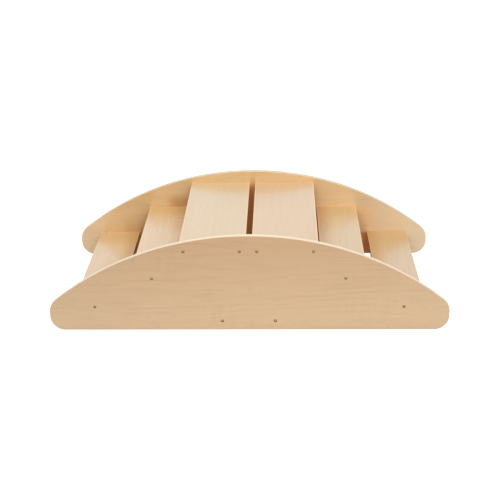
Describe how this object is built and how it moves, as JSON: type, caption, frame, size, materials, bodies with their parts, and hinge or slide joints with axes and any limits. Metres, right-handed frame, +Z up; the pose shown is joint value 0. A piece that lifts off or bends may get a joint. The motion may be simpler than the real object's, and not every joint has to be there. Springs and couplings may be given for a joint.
{
  "type": "rocking boat with steps",
  "caption": "Wooden rocking boat for small children that turns over into a short flight of steps; curved side panels joined by boards and round hand bars.",
  "frame": {"origin": "on the floor under the middle of the boat, standing with its steps up", "axes": "+X along the boat's length, +Y from the front panel to the rear panel, +Z up from the panels' straight edges to their curved edges"},
  "size_m": [1.22, 0.6466, 0.307],
  "materials": {
    "panel_plywood": "clear satin lacquer over pale birch plywood",
    "board_plywood": "clear satin lacquer over pale maple-faced plywood, grain along the board",
    "bar_hardwood": "clear satin lacquer over turned hardwood",
    "dowel_hardwood": "bare hardwood, inside the joints",
    "screw_steel": "nickel-plated steel"
  },
  "bodies": {
    "root": {"front_dowel_low_step_left_inner": "dowel_hardwood", "front_dowel_low_step_left_outer": "dowel_hardwood", "front_dowel_low_step_right_inner": "dowel_hardwood", "front_dowel_low_step_right_outer": "dowel_hardwood", "front_dowel_middle_step_left_inner": "dowel_hardwood", "front_dowel_middle_step_left_outer": "dowel_hardwood", "front_dowel_middle_step_right_inner": "dowel_hardwood", "front_dowel_middle_step_right_outer": "dowel_hardwood", "front_panel": "panel_plywood", "front_screw_hand_bar_left": "screw_steel", "front_screw_hand_bar_right": "screw_steel", "front_screw_low_step_left": "screw_steel", "front_screw_low_step_right": "screw_steel", "front_screw_middle_step_left": "screw_steel", "front_screw_middle_step_right": "screw_steel", "front_screw_top_board_left_inner": "screw_steel", "front_screw_top_board_left_outer": "screw_steel", "front_screw_top_board_right_inner": "screw_steel", "front_screw_top_board_right_outer": "screw_steel", "hand_bar_left": "bar_hardwood", "hand_bar_right": "bar_hardwood", "low_step_left": "board_plywood", "low_step_right": "board_plywood", "middle_step_left": "board_plywood", "middle_step_right": "board_plywood", "rear_dowel_low_step_left_inner": "dowel_hardwood", "rear_dowel_low_step_left_outer": "dowel_hardwood", "rear_dowel_low_step_right_inner": "dowel_hardwood", "rear_dowel_low_step_right_outer": "dowel_hardwood", "rear_dowel_middle_step_left_inner": "dowel_hardwood", "rear_dowel_middle_step_left_outer": "dowel_hardwood", "rear_dowel_middle_step_right_inner": "dowel_hardwood", "rear_dowel_middle_step_right_outer": "dowel_hardwood", "rear_panel": "panel_plywood", "rear_screw_hand_bar_left": "screw_steel", "rear_screw_hand_bar_right": "screw_steel", "rear_screw_low_step_left": "screw_steel", "rear_screw_low_step_right": "screw_steel", "rear_screw_middle_step_left": "screw_steel", "rear_screw_middle_step_right": "screw_steel", "rear_screw_top_board_left_inner": "screw_steel", "rear_screw_top_board_left_outer": "screw_steel", "rear_screw_top_board_right_inner": "screw_steel", "rear_screw_top_board_right_outer": "screw_steel", "top_board_left": "board_plywood", "top_board_right": "board_plywood"}
  },
  "joints": []
}
